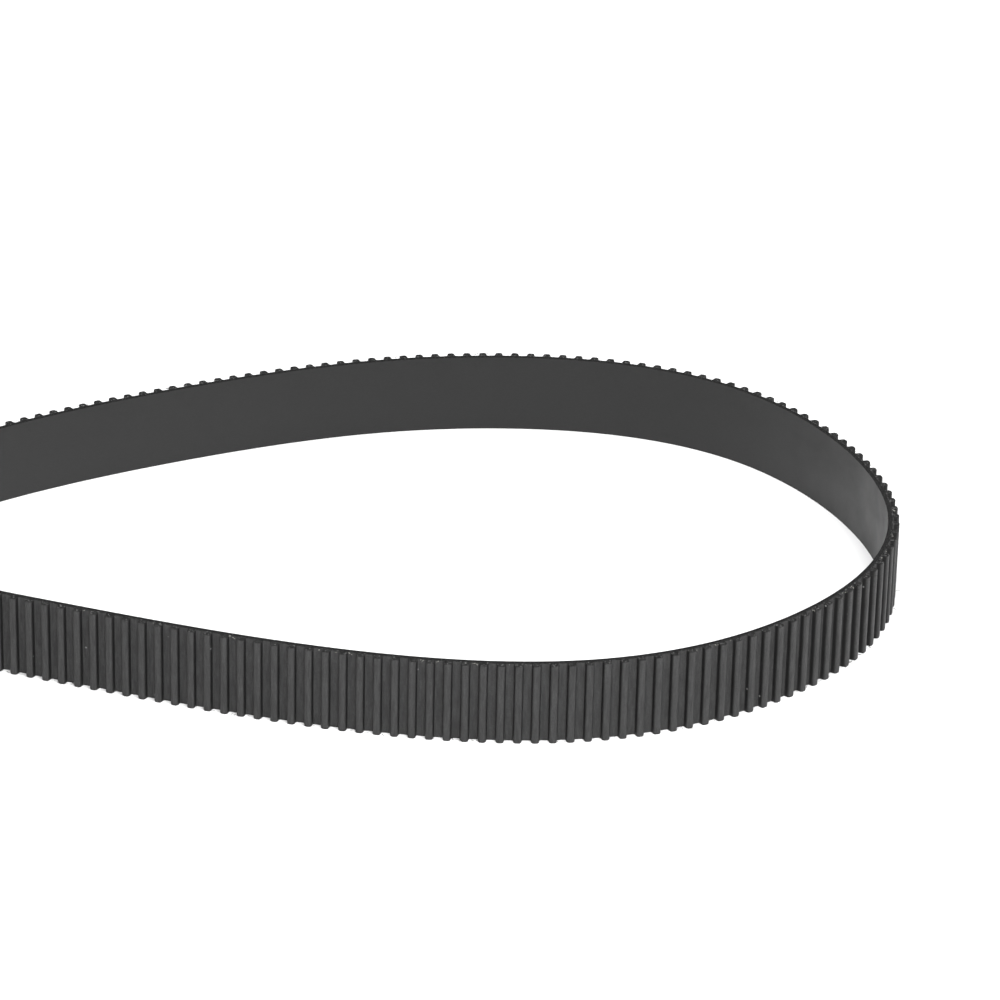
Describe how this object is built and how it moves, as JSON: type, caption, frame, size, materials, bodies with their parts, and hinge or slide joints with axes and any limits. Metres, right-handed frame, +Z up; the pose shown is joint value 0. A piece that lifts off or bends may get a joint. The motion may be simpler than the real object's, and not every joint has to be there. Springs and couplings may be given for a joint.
{
  "type": "timing belt",
  "caption": "Endless synchronous drive belt with rounded moulded teeth under a woven facing, wound tension cords and a smooth back, as a free loop on its edge.",
  "frame": {"origin": "under the middle of the loop's outline, on the surface that the lower cut edge stands on", "axes": "+X along the loop towards its round end, +Y across the loop, +Z up, across the belt's width from cut edge to cut edge"},
  "size_m": [0.126, 0.0808, 0.01],
  "materials": {
    "facing_fabric": "black stretch-woven nylon pressed into the rubber, matt with a faint sheen",
    "tooth_rubber": "black moulded rubber, matt, knife-cut on the two edges",
    "backing_rubber": "dark grey ground rubber, smooth and satin",
    "glass_cord": "twisted glass-fibre cord, dipped, pale straw"
  },
  "bodies": {
    "root": {"tooth_facing_fabric": "facing_fabric", "tooth_rubber": "tooth_rubber", "tension_cord_s_twist": "glass_cord", "tension_cord_z_twist": "glass_cord", "backing_rubber": "backing_rubber"}
  },
  "joints": []
}
